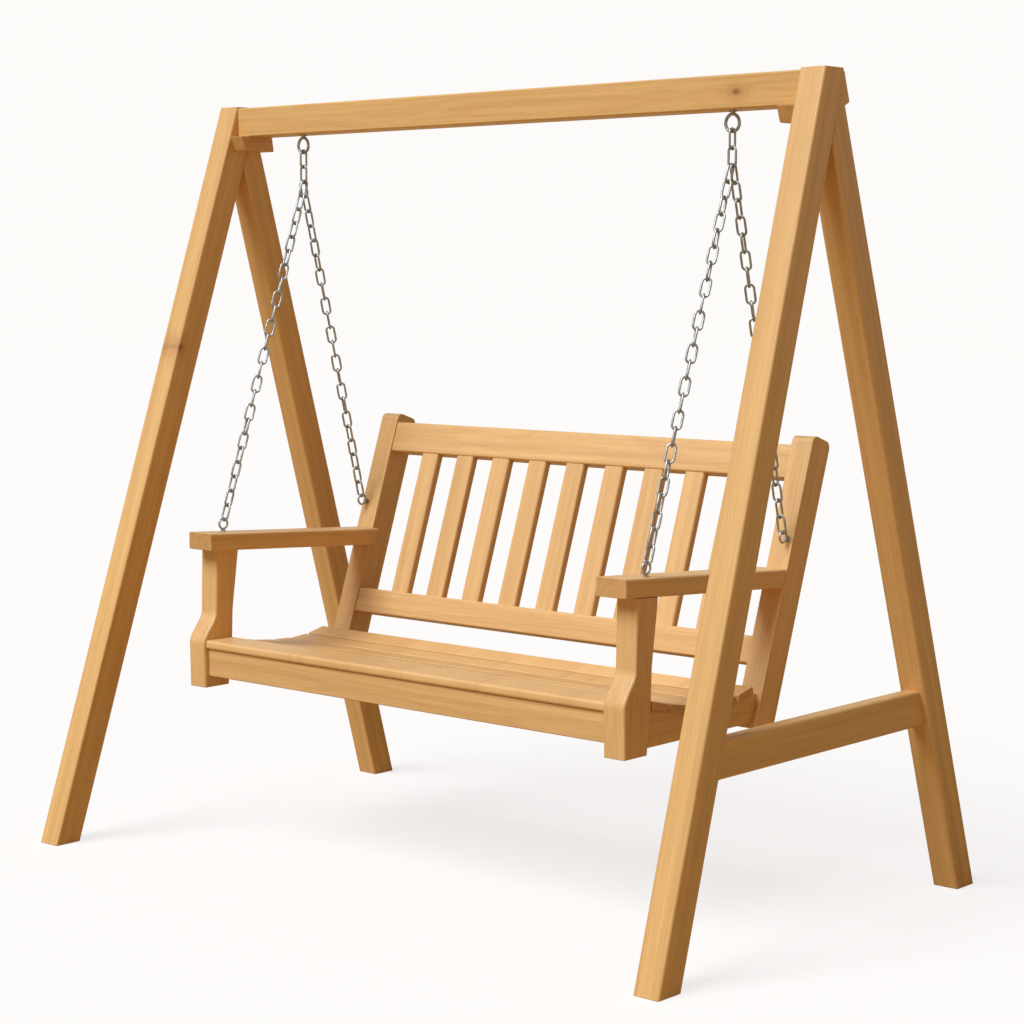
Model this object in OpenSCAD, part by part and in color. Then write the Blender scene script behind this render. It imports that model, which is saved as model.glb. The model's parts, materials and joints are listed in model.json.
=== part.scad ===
// Free-standing porch swing: slatted wooden bench hung by V chains from a beam on two A-frames.
// Millimetres, +Z up, -Y is the front, origin on the ground at the centre of the footprint.

/* [View] */
// Node to draw

/* [Stand] */
// Height of the stand
frame_h = 1750; // [1500:10:2000]
// Overall width across the feet
frame_w = 1856; // [1640:2:2200]
// Footprint depth, front foot to rear foot
frame_d = 1136; // [950:2:1350]
// Sideways lean of each A-frame from top to foot
splay = 36; // [10:1:70]
// Leg width seen from the front
leg_w = 62; // [52:1:75]
// Leg depth, square to its length
leg_d = 67; // [56:1:80]
// Beam height
beam_h = 70; // [58:1:90]
// Beam depth front to back
beam_d = 76; // [66:1:96]
// Height of the side crossbar's lower edge
bar_z = 379; // [300:1:480]
// Crossbar height
bar_h = 78; // [60:1:95]
// Crossbar thickness
bar_t = 36; // [26:1:44]

/* [Bench] */
// Bench width over the posts
bench_w = 1310; // [1100:2:1400]
// Seat depth, nosing to last slat
seat_d = 432; // [370:1:500]
// Height of the top of the nosing above the ground
seat_h = 490; // [440:1:540]
// Dip of the seat below the nosing
seat_dip = 35; // [20:1:45]
// Seat slats behind the nosing
seat_slats = 6; // [6]
// Back slats
back_slats = 9; // [9]
// Back slat width
back_slat_w = 55; // [44:1:66]
// Backrest top above the nosing
back_h = 510; // [430:1:600]
// Backrest lean from vertical
back_lean = 18.8; // [12:0.2:24]
// Arm top above the nosing at the front
arm_up = 252; // [210:1:290]
// Arm width
arm_w = 78; // [66:1:92]
// Arm thickness
arm_t = 40; // [30:1:46]
// Post width seen from the front
post_w = 55; // [46:1:64]

/* [Chain] */
// Chain wire diameter
wire = 5.2; // [4.4:0.1:5.8]
// Chain link length outside
link_len = 47.5; // [44:0.5:56]
// Chain link width outside
link_w = 24; // [24:0.5:28]
// Slow twist of each V chain, at its middle
chain_twist = 45; // [0:1:50]

/* [Hidden] */
$fn = 48;
WOOD = [0.80, 0.58, 0.33];
STEEL = [0.55, 0.54, 0.52];
gap = 0.3;                       // play between chain pieces
fit = 0.1;                       // clearance of a shaft in its hole
// stand lines in the side view
hang_y = 36;                     // the beam's middle and the pivot
beam_y0 = hang_y - beam_d / 2;
beam_z1 = frame_h - 4;
beam_z0 = beam_z1 - beam_h;
ft_y = beam_y0 - 2;              // front leg's front line at the top
rt_y = beam_y0 + 47;             // rear leg's rear line at the top
f_slope = (frame_d / 2 + ft_y) / frame_h;
r_slope = (frame_d / 2 - rt_y) / frame_h;
f_dep = leg_d * sqrt(1 + f_slope * f_slope);
r_dep = leg_d * sqrt(1 + r_slope * r_slope);
function fl(z) = -frame_d / 2 + f_slope * z;
function fb(z) = fl(z) + f_dep;
function rr(z) = frame_d / 2 - r_slope * z;
function rf(z) = rr(z) - r_dep;
apex_z = (rf(0) - fb(0)) / (f_slope + r_slope);
head_out = 17;                   // head block beyond the rear leg
head_z = (rr(0) + head_out - fb(0)) / (f_slope + r_slope);
lean_x = atan(splay / frame_h);
top_x = frame_w / 2 - splay;     // outer face of an A-frame at the top
cleat_h = 34;
cleat_w = 40;
tenon = 20;
// hardware
ring_r = 18;                     // beam eye, to the middle of its wire
ring_w = 7;
scr_r = 12.5;                    // arm and post eyes
scr_w = 5;
bolt_r = 4;
screw_r = 3;
collar_h = 3.5;
link_c = (link_w - wire) / 2;    // link end radius to the wire's middle
pivot_z = beam_z0 - collar_h - ring_w / 2 - 2 * ring_r;
ring_z = pivot_z + ring_r;
chain_x = bench_w / 2 - 17;
side_x = wire / 2 + 0.35;        // the two V chains share one link, side by side
d1_top = pivot_z + ring_w / 2 + wire / 2 + gap;
d1_bot = d1_top - (link_len - wire);
d2_top = d1_bot + wire + gap;
split_z = d2_top - (link_len - wire);
// bench lines in the side view
post_x1 = bench_w / 2;
post_x0 = post_x1 - post_w;
nose_y = hang_y - 363;           // front of the nosing: it hangs level at this
nose_t = 21;
nose_w = 84;
slat_t = 18;
seat_gap = 6.5;
slat_y0 = nose_y + nose_w + 6;
slat_pitch = (nose_y + seat_d + seat_gap - slat_y0) / seat_slats;
slat_w = slat_pitch - seat_gap;
dip_y = nose_y + 0.743 * seat_d;
dip_z = seat_h - seat_dip;
k_front = (seat_dip - 4) / pow(dip_y - slat_y0, 2);
k_rear = 0.49 * seat_dip / pow(nose_y + seat_d - dip_y, 2);
function seat_z(y) = dip_z + (y < dip_y ? k_front : k_rear) * pow(y - dip_y, 2);
function seat_s(y) = 2 * (y < dip_y ? k_front : k_rear) * (y - dip_y);
post_z0 = seat_h - 112;
b_s = tan(back_lean);
back_y0 = nose_y + 478;          // rear post's front line at nosing height
function bf(z) = back_y0 + b_s * (z - seat_h);
back_z1 = seat_h + back_h;
rpost_d = 68;
rpost_h = rpost_d / cos(back_lean);
arm_z = seat_h + arm_up;
arm_s = -0.058;
function at(y) = arm_z + arm_s * (y - nose_y);
function ab(y) = at(y) - arm_t * sqrt(1 + arm_s * arm_s);
arm_y1t = (bf(0) + b_s * (arm_z - arm_s * nose_y)) / (1 - b_s * arm_s);
arm_y1b = (bf(0) + b_s * (ab(0))) / (1 - b_s * arm_s);
rail_x1 = post_x1 - 12;
rail_t = 36;
rail_x0 = rail_x1 - rail_t;
rail_z0 = post_z0 + 11;
apron_y0 = nose_y + 7;
apron_t = 20;
apron_z0 = seat_h - nose_t - 64;
rseat_y1 = nose_y + seat_d - 2;
rseat_t = 30;
slab_t = 38;                     // back rail thickness
top_rail_h = 76;
low_rail_h = 61;
low_rail_z = seat_h + 19;
top_rail_z = back_z1 - 99;
bslat_t = 22;
bslat_in = 12;
bslat_back = 6;
bslat_pitch = (2 * post_x0 - 147) / back_slats;
// chain ends
off = collar_h + scr_r + scr_w / 2 + 0.02;
fe_y0 = nose_y + 88;
arm_k = 1 / sqrt(1 + arm_s * arm_s);
fe_y = fe_y0 - arm_s * arm_k * off;
fe_z = at(fe_y0) + arm_k * off;
re_z0 = seat_h + 283;
re_y = bf(re_z0) - off * cos(back_lean);
re_z = re_z0 + off * sin(back_lean);

// a profile in the side view, extruded along X from x0 to x1
module side(x0, x1, pts) {
  translate([x0, 0, 0]) rotate([90, 0, 90]) linear_extrude(height = x1 - x0) polygon(pts);
}

// box by its corners
module block(a, b) {
  translate(a) cube([b[0] - a[0], b[1] - a[1], b[2] - a[2]]);
}

// the right A-frame's own frame: X = 0 on its outer face, leaning out at the foot
module a_frame() {
  intersection() {
    translate([top_x, 0, frame_h]) rotate([0, -lean_x, 0]) translate([0, 0, -frame_h]) children();
    block([0, -frame_d, 0], [frame_w, frame_d, frame_h]);
  }
}

// everything outside the A-frame's inner face
module outside() {
  translate([top_x, 0, frame_h]) rotate([0, -lean_x, 0]) translate([-leg_w, 0, -frame_h])
    block([0, -frame_d, -200], [400, frame_d, frame_h + 200]);
}

module bar_tenons() {
  z0 = bar_z + 13;
  z1 = bar_z + bar_h - 13;
  m = (leg_w - bar_t) / 2 + 9;
  side(-leg_w + m, -m, [[fb(z0) - tenon, z0], [rf(z0) + tenon, z0], [rf(z1) + tenon, z1], [fb(z1) - tenon, z1]]);
}

module bar_body() {
  z0 = bar_z;
  z1 = bar_z + bar_h;
  m = (leg_w - bar_t) / 2;
  side(-leg_w + m, -m, [[fb(z0), z0], [rf(z0), z0], [rf(z1), z1], [fb(z1), z1]]);
}

module beam_tenon() {
  zm = (beam_z0 + beam_z1) / 2;
  ym = (fl(zm) + fb(zm)) / 2;
  block([top_x - leg_w - 30, ym - 15, zm - 17], [top_x - leg_w + 32, ym + 15, zm + 17]);
}

module front_leg(bar) {
  color(WOOD) difference() {
    a_frame() side(-leg_w, 0, [[fl(-20), -20], [fb(-20), -20], [fb(head_z), head_z],
      [rr(frame_h + 20) + head_out, frame_h + 20], [fl(frame_h + 20), frame_h + 20]]);
    beam_tenon();
    if (bar) a_frame() bar_tenons();
  }
}

module rear_leg(bar) {
  color(WOOD) difference() {
    a_frame() side(-leg_w, 0, [[rf(-20), -20], [rr(-20), -20], [rr(beam_z0), beam_z0], [fb(beam_z0), beam_z0], [rf(apex_z), apex_z]]);
    if (bar) a_frame() bar_tenons();
  }
}

module head_block() {
  c = 7;
  y1 = rr(beam_z0 + c) + head_out;
  color(WOOD) a_frame() side(-leg_w, 0, [[fb(beam_z0), beam_z0], [y1 - 2 * c, beam_z0], [y1, beam_z0 + c], [fb(head_z), head_z]]);
}

module cleat() {
  y0 = fl(beam_z0) + 2;
  y1 = rr(beam_z0 - cleat_h) + 3;
  color(WOOD) difference() {
    side(top_x - leg_w - cleat_w, top_x - leg_w + 20, [[y0 + 12, beam_z0 - cleat_h], [y1, beam_z0 - cleat_h], [y1 - 5, beam_z0], [y0, beam_z0]]);
    outside();
  }
}

module crossbar() {
  color(WOOD) union() {
    a_frame() bar_body();
    a_frame() bar_tenons();
  }
}

module beam() {
  x1 = top_x - leg_w + 20;
  color(WOOD) difference() {
    union() {
      difference() {
        block([-x1, beam_y0, beam_z0], [x1, beam_y0 + beam_d, beam_z1]);
        outside();
        mirror([1, 0, 0]) outside();
      }
      beam_tenon();
      mirror([1, 0, 0]) beam_tenon();
    }
    for (s = [-1, 1]) translate([s * chain_x, hang_y, beam_z0 - 1]) cylinder(r = bolt_r + fit, h = beam_h + 2);
    for (s = [-1, 1]) translate([s * chain_x, hang_y, beam_z1 - 14]) cylinder(r = 14, h = 20);
  }
}

// eye in the XZ plane, its shaft up along Z from the ring
module eye(r, w, sh_r, sh_l, col_r) {
  union() {
    rotate([90, 0, 0]) rotate_extrude() translate([r, 0]) circle(d = w, $fn = 32);
    translate([0, 0, r]) cylinder(r = sh_r, h = sh_l + w / 2 + collar_h);
    translate([0, 0, r + w / 2]) cylinder(r = col_r, h = collar_h);
  }
}

module eye_bolts() {
  color(STEEL) for (s = [-1, 1]) translate([s * chain_x, hang_y, ring_z]) eye(ring_r, ring_w, bolt_r, beam_h - 3, 8);
}

module beam_washers() {
  color(STEEL) for (s = [-1, 1]) translate([s * chain_x, hang_y, beam_z1 - 14]) difference() {
    cylinder(r = 12, h = 2);
    translate([0, 0, -1]) cylinder(r = bolt_r + fit, h = 4);
  }
}

module beam_nuts() {
  color(STEEL) for (s = [-1, 1]) translate([s * chain_x, hang_y, beam_z1 - 12]) difference() {
    cylinder(r = 7.5, h = 6.5, $fn = 6);
    translate([0, 0, -1]) cylinder(r = bolt_r + fit, h = 9);
  }
}

// one link, long axis Z, in the XZ plane
module link(lo) {
  st = lo - link_w;
  union() {
    for (s = [0, 180]) rotate([0, s, 0]) translate([0, 0, st / 2]) rotate([90, 0, 0])
      rotate_extrude(angle = 180) translate([link_c, 0]) circle(d = wire, $fn = 24);
    for (s = [-1, 1]) translate([s * link_c, 0, -st / 2]) cylinder(d = wire, h = st, $fn = 24);
  }
}

module drop_links() {
  color(STEEL) union() {
    translate([chain_x, hang_y, (d1_top + d1_bot) / 2]) rotate([0, 0, 90]) link(link_len);
    translate([chain_x, hang_y, (d2_top + split_z) / 2]) link(link_len);
  }
}

// n links hung from the shared link at the split to the eye centred at (ey, ez)
module v_chain(x, ey, ez) {
  dist = norm([ey - hang_y, ez - split_z]);
  ang = atan2(ey - hang_y, split_z - ez);
  t0 = -(wire + gap + 1.3);
  t1 = dist - scr_r + scr_w / 2 + wire / 2 + gap;
  n = 2 * round((t1 - t0) / (2 * (link_len - 2 * wire - gap)));
  lo = round(500 * (wire + (t1 - t0 + (n - 1) * (wire + gap)) / n)) / 500;
  step = lo - 2 * wire - gap;
  color(STEEL) translate([x, hang_y, split_z]) rotate([ang, 0, 0]) union() {
    for (i = [0 : n - 1]) translate([0, 0, -(t0 + (lo - wire) / 2 + i * step)])
      rotate([0, 0, (i % 2 == 0 ? 90 : 0) + chain_twist * pow(sin(180 * i / (n - 1)), 2)]) link(lo);
  }
}

module eye_screws() {
  color(STEEL) for (s = [-1, 1]) {
    translate([s * (chain_x - side_x), fe_y, fe_z]) rotate([180 + atan(arm_s), 0, 0]) rotate([0, 0, 90]) eye(scr_r, scr_w, screw_r, arm_t + 30, 6);
    translate([s * (chain_x + side_x), re_y, re_z]) rotate([-90 - back_lean, 0, 0]) rotate([0, 0, 90]) eye(scr_r, scr_w, screw_r, 42, 6);
  }
}

// holes for the eye screws, a little longer than their shafts
module screw_holes() {
  translate([chain_x - side_x, fe_y, fe_z]) rotate([180 + atan(arm_s), 0, 0]) cylinder(r = screw_r + fit, h = scr_r + scr_w / 2 + collar_h + arm_t + 32);
  translate([chain_x + side_x, re_y, re_z]) rotate([-90 - back_lean, 0, 0]) cylinder(r = screw_r + fit, h = scr_r + scr_w / 2 + collar_h + 44);
}

// front post: slim under the arm, an S flare to a deeper foot
module front_post() {
  z_a = seat_h + 66;
  z_b = seat_h - 10;
  up_f = nose_y + 33;
  lo_f = nose_y - 5;
  steps = 14;
  curve = [for (i = [0 : steps]) let (u = i / steps) [lo_f + (up_f - lo_f) * (1 - cos(180 * u)) / 2, z_b + (z_a - z_b) * u]];
  back = [[nose_y + 106, ab(nose_y + 106)], [nose_y + 87, z_a], [nose_y + 84, seat_h - 8], [nose_y + 72, post_z0]];
  front = concat([[lo_f + 2, post_z0]], curve, [[nose_y + 37, ab(nose_y + 37)]]);
  color(WOOD) difference() {
    side(post_x0, post_x1, concat(front, back));
    apron_solid();
    screw_holes();
    rail_tenon();
  }
}

module rail_tenon() {
  block([rail_x0 + 9, nose_y + 45, rail_z0 + 12], [rail_x1 - 9, bf(rail_z0 + 24) + 22, rail_z0 + 36]);
}

module rear_post() {
  c = 16;
  s = sin(back_lean);
  k = cos(back_lean);
  zt = back_z1 - s * c;
  color(WOOD) difference() {
    side(post_x0, post_x1, concat([[bf(post_z0), post_z0], [bf(post_z0) + rpost_h, post_z0]],
      [for (a = [0 : 15 : 90]) [bf(zt) + rpost_d * k - s * (c - c * sin(a)) + k * (c * cos(a) - c), zt - rpost_d * s - k * (c - c * sin(a)) - s * (c * cos(a) - c)]],
      [for (a = [90 : 15 : 180]) [bf(zt) - s * (c - c * sin(a)) + k * (c * cos(a) + c), zt - k * (c - c * sin(a)) - s * (c * cos(a) + c)]]));
    top_rail_solid();
    low_rail_solid();
    rail_tenon();
    screw_holes();
  }
}

module arm() {
  color(WOOD) difference() {
    side(post_x1 - arm_w, post_x1, [[nose_y, ab(nose_y)], [arm_y1b, ab(arm_y1b)], [arm_y1t, at(arm_y1t)], [nose_y, at(nose_y)]]);
    screw_holes();
  }
}

// a bar across the back: z is its lower front edge, h its size up the slope, in how far back
module back_bar(x1, z, h, t, in) {
  s = sin(back_lean);
  k = cos(back_lean);
  y = bf(z) + in * k;
  w = z - in * s;
  side(-x1, x1, [[y, w], [y + t * k, w - t * s], [y + t * k + h * s, w - t * s + h * k], [y + h * s, w + h * k]]);
}

module top_rail_solid() {
  back_bar(post_x0, top_rail_z, top_rail_h, slab_t, 3);
  back_bar(post_x0 + tenon, top_rail_z + 12, top_rail_h - 26, slab_t - 14, 10);
}

module low_rail_solid() {
  back_bar(post_x0, low_rail_z, low_rail_h, slab_t, 3);
  back_bar(post_x0 + tenon, low_rail_z + 12, low_rail_h - 26, slab_t - 14, 10);
}

module back_slat_solid(i) {
  z0 = low_rail_z + (low_rail_h - bslat_in) * cos(back_lean);
  h = (top_rail_z + bslat_in * cos(back_lean) - z0) / cos(back_lean);
  translate([(i - (back_slats - 1) / 2) * bslat_pitch, 0, 0]) back_bar(back_slat_w / 2, z0, h, bslat_t, bslat_back);
}

module top_rail() {
  color(WOOD) difference() {
    top_rail_solid();
    for (i = [0 : back_slats - 1]) back_slat_solid(i);
  }
}

module lower_rail() {
  color(WOOD) difference() {
    low_rail_solid();
    for (i = [0 : back_slats - 1]) back_slat_solid(i);
  }
}

module back_slat(i) {
  color(WOOD) back_slat_solid(i);
}

module apron_solid() {
  z1 = seat_h - nose_t;
  block([-post_x0, apron_y0, apron_z0], [post_x0, apron_y0 + apron_t, z1]);
  block([-post_x0 - tenon, apron_y0 + 5, apron_z0 + 10], [post_x0 + tenon, apron_y0 + apron_t - 5, z1 - 10]);
}

module apron() {
  color(WOOD) apron_solid();
}

// lower corners of seat slat k, front then rear
function slat_c(k) = slat_y0 + slat_w / 2 + k * slat_pitch;
function slat_a(k) = atan(seat_s(slat_c(k)));
function slat_low(k, e) = [slat_c(k) + e * slat_w / 2 * cos(slat_a(k)) + slat_t * sin(slat_a(k)),
  seat_z(slat_c(k)) + e * slat_w / 2 * sin(slat_a(k)) - slat_t * cos(slat_a(k))];
function slat_high(k, e) = [slat_c(k) + e * slat_w / 2 * cos(slat_a(k)),
  seat_z(slat_c(k)) + e * slat_w / 2 * sin(slat_a(k))];
under = [for (k = [0 : seat_slats - 1]) for (e = [-1, 1]) slat_low(k, e)];
last = under[len(under) - 1];
rail_y0 = nose_y + 84;

module side_rail() {
  rail_rear = [[bf(last[1] - 4), last[1] - 4], [bf(rail_z0), rail_z0]];
  foot = nose_y + 74;
  color(WOOD) difference() {
    union() {
      side(rail_x0, rail_x1, concat([[foot, rail_z0], [rail_y0, under[0][1] - 3]], under, rail_rear));
      rail_tenon();
    }
    difference() {
      block([rail_x0 - 1, nose_y, rail_z0 - 20], [rail_x1 + 1, nose_y + 90, seat_h]);
      block([rail_x0 + 9, nose_y + 45, rail_z0 + 12], [rail_x1 - 9, nose_y + 91, rail_z0 + 36]);
      side(rail_x0 - 2, rail_x1 + 2, [[nose_y + 72 + 12 * (rail_z0 - post_z0) / (seat_h - 8 - post_z0), rail_z0 - 30], [nose_y + 95, rail_z0 - 30], [nose_y + 95, seat_h], [nose_y + 84, seat_h - 8]]);
    }
  }
}

module rear_seat_rail() {
  z1 = min(slat_low(seat_slats - 1, -1)[1], last[1]) - 0.5;
  color(WOOD) difference() {
    block([-rail_x0, rseat_y1 - rseat_t, apron_z0 + 4], [rail_x0, rseat_y1, z1 + 30]);
    side(-rail_x0 - 1, rail_x0 + 1, concat([[slat_c(0), frame_h]], under, [[last[0] + 30, last[1]], [last[0] + 30, frame_h]]));
  }
}

module centre_support() {
  color(WOOD) difference() {
    side(-rseat_t / 2, rseat_t / 2, concat([[apron_y0 + apron_t, apron_z0 + 4], [apron_y0 + apron_t, seat_h - nose_t], [nose_y + nose_w, seat_h - nose_t]],
      under, [[last[0], apron_z0 + 4]]));
    block([-rseat_t, rseat_y1 - rseat_t, rail_z0 - 10], [rseat_t, rseat_y1 + 80, seat_h]);
  }
}

module seat_nosing() {
  color(WOOD) block([-post_x0, nose_y, seat_h - nose_t], [post_x0, nose_y + nose_w, seat_h]);
}

module seat_slat(k) {
  color(WOOD) side(-post_x1, post_x1, [slat_low(k, -1), slat_low(k, 1), slat_high(k, 1), slat_high(k, -1)]);
}

module left() {
  mirror([1, 0, 0]) children();
}

left() front_leg(false);  // front_leg_left
front_leg(true);  // front_leg_right
left() rear_leg(false);  // rear_leg_left
rear_leg(true);  // rear_leg_right
left() head_block();  // head_block_left
head_block();  // head_block_right
beam();
left() cleat();  // cleat_left
cleat();  // cleat_right
crossbar();
eye_bolts();
beam_washers();
beam_nuts();
left() drop_links();  // drop_links_left
drop_links();  // drop_links_right
left() v_chain(chain_x - side_x, fe_y, fe_z);  // front_chain_left
v_chain(chain_x - side_x, fe_y, fe_z);  // front_chain_right
left() v_chain(chain_x + side_x, re_y, re_z);  // rear_chain_left
v_chain(chain_x + side_x, re_y, re_z);  // rear_chain_right
eye_screws();
left() front_post();  // front_post_left
front_post();  // front_post_right
left() rear_post();  // rear_post_left
rear_post();  // rear_post_right
left() arm();  // arm_left
arm();  // arm_right
top_rail();
lower_rail();
apron();
rear_seat_rail();
left() side_rail();  // side_rail_left
side_rail();  // side_rail_right
centre_support();
seat_nosing();
seat_slat(0);  // seat_slat_1
seat_slat(1);  // seat_slat_2
seat_slat(2);  // seat_slat_3
seat_slat(3);  // seat_slat_4
seat_slat(4);  // seat_slat_5
seat_slat(5);  // seat_slat_6
back_slat(0);  // back_slat_1
back_slat(1);  // back_slat_2
back_slat(2);  // back_slat_3
back_slat(3);  // back_slat_4
back_slat(4);  // back_slat_5
back_slat(5);  // back_slat_6
back_slat(6);  // back_slat_7
back_slat(7);  // back_slat_8
back_slat(8);  // back_slat_9
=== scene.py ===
"""Looks of a free-standing porch swing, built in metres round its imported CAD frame.

Every board is drawn again from its own CAD outline with eased edges and carries its own wood grain. The
chains and the back slats are grown by Geometry Nodes. The eye bolts, washers and nuts are swept and turned.
"""

import json
import logging
import math
import random
from dataclasses import dataclass, field
from enum import Enum
from functools import partial
from typing import Any, Optional

import bmesh
import bpy
import numpy as np
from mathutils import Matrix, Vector
from mathutils.bvhtree import BVHTree


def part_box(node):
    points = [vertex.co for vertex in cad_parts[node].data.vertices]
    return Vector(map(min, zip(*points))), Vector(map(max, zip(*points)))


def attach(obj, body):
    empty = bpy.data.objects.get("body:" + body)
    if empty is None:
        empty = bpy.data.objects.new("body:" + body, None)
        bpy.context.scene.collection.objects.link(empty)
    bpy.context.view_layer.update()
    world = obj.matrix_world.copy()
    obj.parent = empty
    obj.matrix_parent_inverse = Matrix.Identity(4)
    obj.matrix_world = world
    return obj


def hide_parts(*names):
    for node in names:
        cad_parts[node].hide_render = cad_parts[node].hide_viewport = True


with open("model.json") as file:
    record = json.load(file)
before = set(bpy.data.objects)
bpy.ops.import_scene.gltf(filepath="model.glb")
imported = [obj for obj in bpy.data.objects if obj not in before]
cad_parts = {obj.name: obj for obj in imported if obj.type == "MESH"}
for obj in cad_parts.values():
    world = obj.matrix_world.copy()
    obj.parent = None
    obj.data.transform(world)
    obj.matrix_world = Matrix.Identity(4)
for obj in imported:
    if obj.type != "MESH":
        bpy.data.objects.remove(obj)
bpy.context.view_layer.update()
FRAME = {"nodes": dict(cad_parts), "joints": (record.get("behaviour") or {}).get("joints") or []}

LOG = logging.getLogger("porch_swing")
MM = 0.001


class Body(Enum):
    """The bodies that pieces ride on."""

    STAND = "stand"
    DROP_LINKS = "drop_links"
    BENCH = "bench"


class Slot(Enum):
    """The record's material slots."""

    STAND_WOOD = "stand_wood"
    BENCH_WOOD = "bench_wood"
    STEEL = "steel"


class Across(Enum):
    """The direction that a board's two drawn faces look in, square to its outline."""

    SIDEWAYS = Vector((1, 0, 0))
    FORWARDS = Vector((0, -1, 0))


# -------------------- small tools


def linear(hex_colour: str) -> tuple[float, float, float, float]:
    """Turns an sRGB hex colour into linear RGBA.

    Args:
        hex_colour: six hex digits, such as "d9a463".

    Returns:
        Linear red, green and blue with an alpha of 1.
    """
    parts = [int(hex_colour[i:i + 2], 16) / 255 for i in (0, 2, 4)]
    red, green, blue = [c / 12.92 if c <= 0.04045 else ((c + 0.055) / 1.055) ** 2.4 for c in parts]
    return red, green, blue, 1.0


def add_node(
    tree: bpy.types.NodeTree, kind: str, inputs: Optional[dict[Any, Any]] = None, **settings: Any
) -> bpy.types.Node:
    """Adds one node with its settings, values and links.

    Args:
        tree: the node tree it goes in.
        kind: Blender's name of the node's type.
        inputs: a value, an output or a node for each input, by its name or number. Of a node, the first
            output is taken.
        settings: the node's own settings.

    Returns:
        The new node.
    """
    node = tree.nodes.new(kind)
    for name, value in settings.items():
        setattr(node, name, value)
    for key, value in (inputs or {}).items():
        if isinstance(value, bpy.types.Node):
            value = value.outputs[0]
        if isinstance(value, bpy.types.NodeSocket):
            tree.links.new(value, node.inputs[key])
        else:
            node.inputs[key].default_value = value
    return node


def outcome(
    tree: bpy.types.NodeTree, kind: str, operation: str, *values: Any, **settings: Any
) -> bpy.types.NodeSocket:
    """Adds one node that puts its values through an operation.

    Args:
        tree: the node tree it goes in.
        kind: Blender's name of the node's type.
        operation: the operation's name.
        values: a value or an output socket for each input in turn.
        settings: the node's other settings.

    Returns:
        The node's first output.
    """
    return add_node(tree, kind, dict(enumerate(values)), operation=operation, **settings).outputs[0]


def blank_material(name: str) -> tuple[bpy.types.Material, bpy.types.NodeTree]:
    """Makes a material and returns it with its emptied node tree."""
    material = bpy.data.materials.new(name)
    material.use_nodes = True
    material.node_tree.nodes.clear()
    return material, material.node_tree


def geometry_tree(
    name: str, given: dict[str, str], made: str
) -> tuple[bpy.types.NodeTree, dict[str, str], bpy.types.bpy_prop_collection]:
    """Starts a Geometry Nodes tree.

    Args:
        name: the tree's name.
        given: the kind of each input socket by its name, without the "NodeSocket" before it.
        made: the name of its one output, a geometry.

    Returns:
        The tree, the identifiers of its inputs by name, and the sockets that bring them in.
    """
    tree = bpy.data.node_groups.new(name, "GeometryNodeTree")
    interface = tree.interface
    sockets = {
        label: interface.new_socket(name=label, in_out="INPUT", socket_type="NodeSocket" + kind).identifier
        for label, kind in given.items()
    }
    interface.new_socket(name=made, in_out="OUTPUT", socket_type="NodeSocketGeometry")
    return tree, sockets, tree.nodes.new("NodeGroupInput").outputs


def evaluated_mesh(obj: bpy.types.Object) -> bpy.types.Object:
    """Turns an object with modifiers into a plain mesh object.

    Args:
        obj: the object, whose modifiers are removed once their result is taken.

    Returns:
        The same object, holding the finished mesh.
    """
    graph = bpy.context.evaluated_depsgraph_get()
    mesh = bpy.data.meshes.new_from_object(obj.evaluated_get(graph), depsgraph=graph)
    obj.modifiers.clear()
    obj.data = mesh
    mesh.name = obj.name
    return obj


def link_object(name: str, data: bpy.types.ID) -> bpy.types.Object:
    """Puts a mesh, a lamp or a camera into the scene as an object of that name and returns it."""
    obj = bpy.data.objects.new(name, data)
    bpy.context.scene.collection.objects.link(obj)
    return obj


def finished_mesh(name: str, bm: bmesh.types.BMesh) -> bpy.types.Mesh:
    """Turns a mesh in the making into a mesh of that name and returns it."""
    mesh = bpy.data.meshes.new(name)
    bm.to_mesh(mesh)
    bm.free()
    return mesh


def discard(obj: bpy.types.Object) -> None:
    """Removes a helper object and its mesh."""
    mesh = obj.data
    bpy.data.objects.remove(obj)
    bpy.data.meshes.remove(mesh)


def hand_over(obj: bpy.types.Object, body: Body, slot: Slot, *nodes: str) -> bpy.types.Object:
    """Hangs a finished piece on its body and hides the CAD nodes it stands for.

    Args:
        obj: the finished piece, at the origin.
        body: the body it moves with.
        slot: the record's slot of its finish; not used.
        nodes: the CAD nodes it replaces.

    Returns:
        The piece.
    """
    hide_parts(*nodes)
    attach(obj, body.value)
    LOG.info("%s: %d faces, rides on %s", obj.name, len(obj.data.polygons), body.value)
    return obj


def middle(node: str) -> Vector:
    """The centre of a CAD node's box."""
    low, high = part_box(node)
    return (low + high) / 2


def pivot(joint: str) -> Vector:
    """A joint's place at rest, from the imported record."""
    found = next(j for j in FRAME["joints"] if j["name"] == joint)
    return Vector(found["pos_m"])


def islands(node: str) -> list[np.ndarray]:
    """Splits a CAD node's mesh into its separate solids.

    Args:
        node: the CAD node's name.

    Returns:
        One array of points for each solid, from the highest to the lowest.
    """
    mesh = bmesh.new()
    mesh.from_mesh(FRAME["nodes"][node].data)
    bmesh.ops.remove_doubles(mesh, verts=mesh.verts, dist=0.01 * MM)
    seen: set[bmesh.types.BMVert] = set()
    found = []
    for start in mesh.verts:
        if start in seen:
            continue
        seen.add(start)
        group, queue = [], [start]
        while queue:
            vert = queue.pop()
            group.append(vert.co[:])
            for edge in vert.link_edges:
                other = edge.other_vert(vert)
                if other not in seen:
                    seen.add(other)
                    queue.append(other)
        found.append(np.array(group))
    mesh.free()
    return sorted(found, key=lambda points: -points[:, 2].mean())


# -------------------- finishes


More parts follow.
